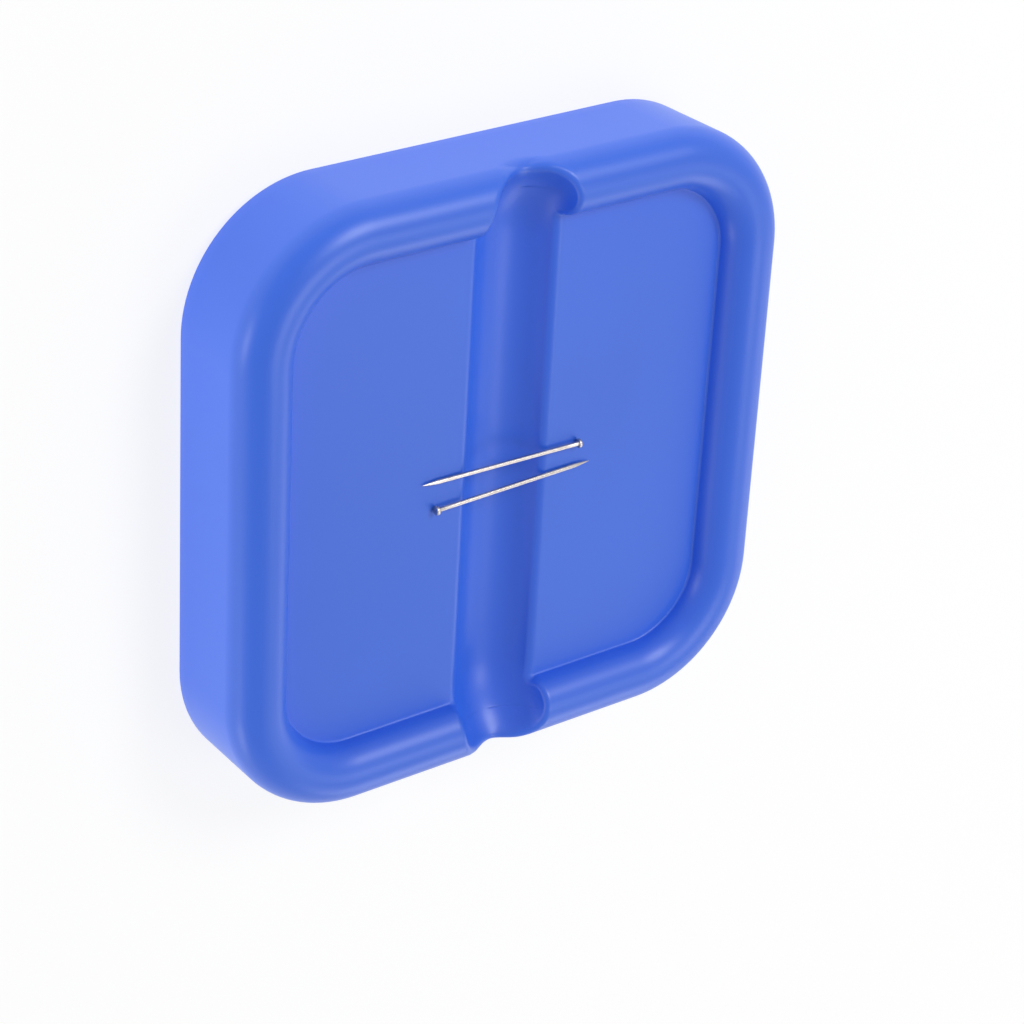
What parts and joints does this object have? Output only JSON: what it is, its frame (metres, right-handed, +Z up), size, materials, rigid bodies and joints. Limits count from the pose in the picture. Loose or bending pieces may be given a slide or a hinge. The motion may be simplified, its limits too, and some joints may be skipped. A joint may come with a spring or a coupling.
{
  "type": "magnetic pin bowl",
  "caption": "Square shallow bowl with a rolled rim and a finger groove across its floor, holding steel sewing pins by flat magnets under the floor.",
  "frame": {"origin": "middle of the bowl, on the surface that its four feet stand on", "axes": "+X across the finger groove, +Y along the finger groove, +Z up out of the dish"},
  "size_m": [0.1006, 0.1006, 0.0196],
  "materials": {
    "bowl_plastic": "semi-gloss blue moulding",
    "cover_plastic": "fine satin",
    "magnet_ferrite": "dull sintered",
    "plate_steel": "cold rolled",
    "screw_zinc": "zinc plated",
    "foot_rubber": "matt",
    "pin_steel": "nickel plated"
  },
  "bodies": {
    "bowl": {"tray_shell": "bowl_plastic", "base_cover": "cover_plastic", "magnet_left": "magnet_ferrite", "magnet_right": "magnet_ferrite", "back_plate": "plate_steel", "screw_rear_left": "screw_zinc", "screw_rear_right": "screw_zinc", "screw_front_left": "screw_zinc", "screw_front_right": "screw_zinc", "foot_rear_left": "foot_rubber", "foot_rear_right": "foot_rubber", "foot_front_left": "foot_rubber", "foot_front_right": "foot_rubber"},
    "pin_rear": {"pin_rear": "pin_steel"},
    "pin_front": {"pin_front": "pin_steel"}
  },
  "joints": [
    {"name": "pin_rear_lift", "type": "slide", "parent": "bowl", "child": "pin_rear", "axis": [0, 0, 1], "range_m": [0, 0.025]},
    {"name": "pin_front_lift", "type": "slide", "parent": "bowl", "child": "pin_front", "axis": [0, 0, 1], "range_m": [0, 0.025]}
  ]
}
